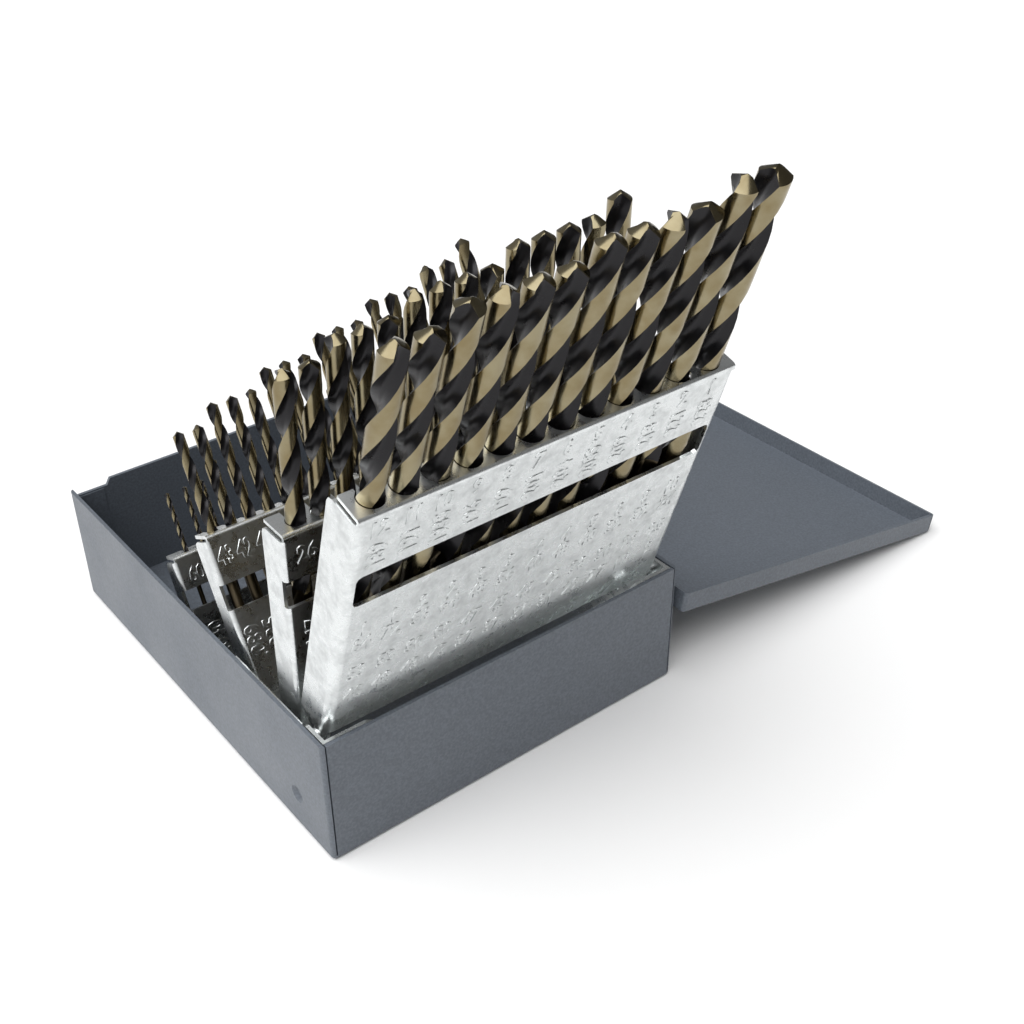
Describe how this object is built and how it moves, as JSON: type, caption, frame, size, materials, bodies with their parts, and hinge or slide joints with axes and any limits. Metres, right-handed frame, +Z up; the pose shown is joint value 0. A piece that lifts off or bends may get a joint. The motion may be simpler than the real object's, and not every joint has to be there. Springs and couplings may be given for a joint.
{
  "type": "hinged drill index case",
  "caption": "Shallow sheet-metal case whose hinged lid opens flat and whose racks of gauge-numbered twist drills swing up in a fan.",
  "frame": {"origin": "middle of the case's underside, on the surface that the case stands on", "axes": "+Z up; -Y the front, the wall that the largest rack leans over; +X the side with the lid's hinge, towards the open lid"},
  "size_m": [0.181, 0.1375, 0.1255],
  "materials": {
    "case_paint": "satin",
    "hinge_steel": "satin",
    "rack_zinc": "zinc plate",
    "drill_steel": "black oxide flutes with bronze lands"
  },
  "bodies": {
    "case": {"case_box": "case_paint", "corner_tabs": "case_paint", "case_knuckle_1": "hinge_steel", "case_knuckle_2": "hinge_steel", "case_knuckle_3": "hinge_steel", "hinge_pin": "hinge_steel", "rack_cradle": "rack_zinc", "rack_1_rivets": "rack_zinc", "rack_2_rivets": "rack_zinc", "rack_3_rivets": "rack_zinc", "rack_4_rivets": "rack_zinc"},
    "lid": {"lid_pan": "case_paint", "lid_knuckle_1": "hinge_steel", "lid_knuckle_2": "hinge_steel"},
    "rack_1": {"rack_1_frame": "rack_zinc", "rack_1_drills": "drill_steel"},
    "rack_2": {"rack_2_frame": "rack_zinc", "rack_2_drills": "drill_steel"},
    "rack_3": {"rack_3_frame": "rack_zinc", "rack_3_drills": "drill_steel"},
    "rack_4": {"rack_4_frame": "rack_zinc", "rack_4_drills": "drill_steel"}
  },
  "joints": [
    {"name": "lid_hinge", "type": "hinge", "parent": "case", "child": "lid", "pos_m": [0.0464, 0, 0.0239], "axis": [0, -1, 0], "range_deg": [0, 104]},
    {"name": "rack_1_fold", "type": "hinge", "parent": "case", "child": "rack_1", "pos_m": [0, -0.0491, 0.0269], "axis": [-1, 0, 0], "range_deg": [0, 107.7]},
    {"name": "rack_2_fold", "type": "hinge", "parent": "case", "child": "rack_2", "pos_m": [0, -0.04, 0.0184], "axis": [-1, 0, 0], "range_deg": [0, 92.2]},
    {"name": "rack_3_fold", "type": "hinge", "parent": "case", "child": "rack_3", "pos_m": [0, -0.0292, 0.01115], "axis": [-1, 0, 0], "range_deg": [0, 62.6]},
    {"name": "rack_4_fold", "type": "hinge", "parent": "case", "child": "rack_4", "pos_m": [0, -0.0043, 0.00475], "axis": [-1, 0, 0], "range_deg": [0, 65.1]}
  ],
  "couplings": [
    {"joint": "rack_2_fold", "follows": "rack_1_fold", "ratio": 0.85608},
    {"joint": "rack_3_fold", "follows": "rack_1_fold", "ratio": 0.58124},
    {"joint": "rack_4_fold", "follows": "rack_1_fold", "ratio": 0.60445}
  ]
}
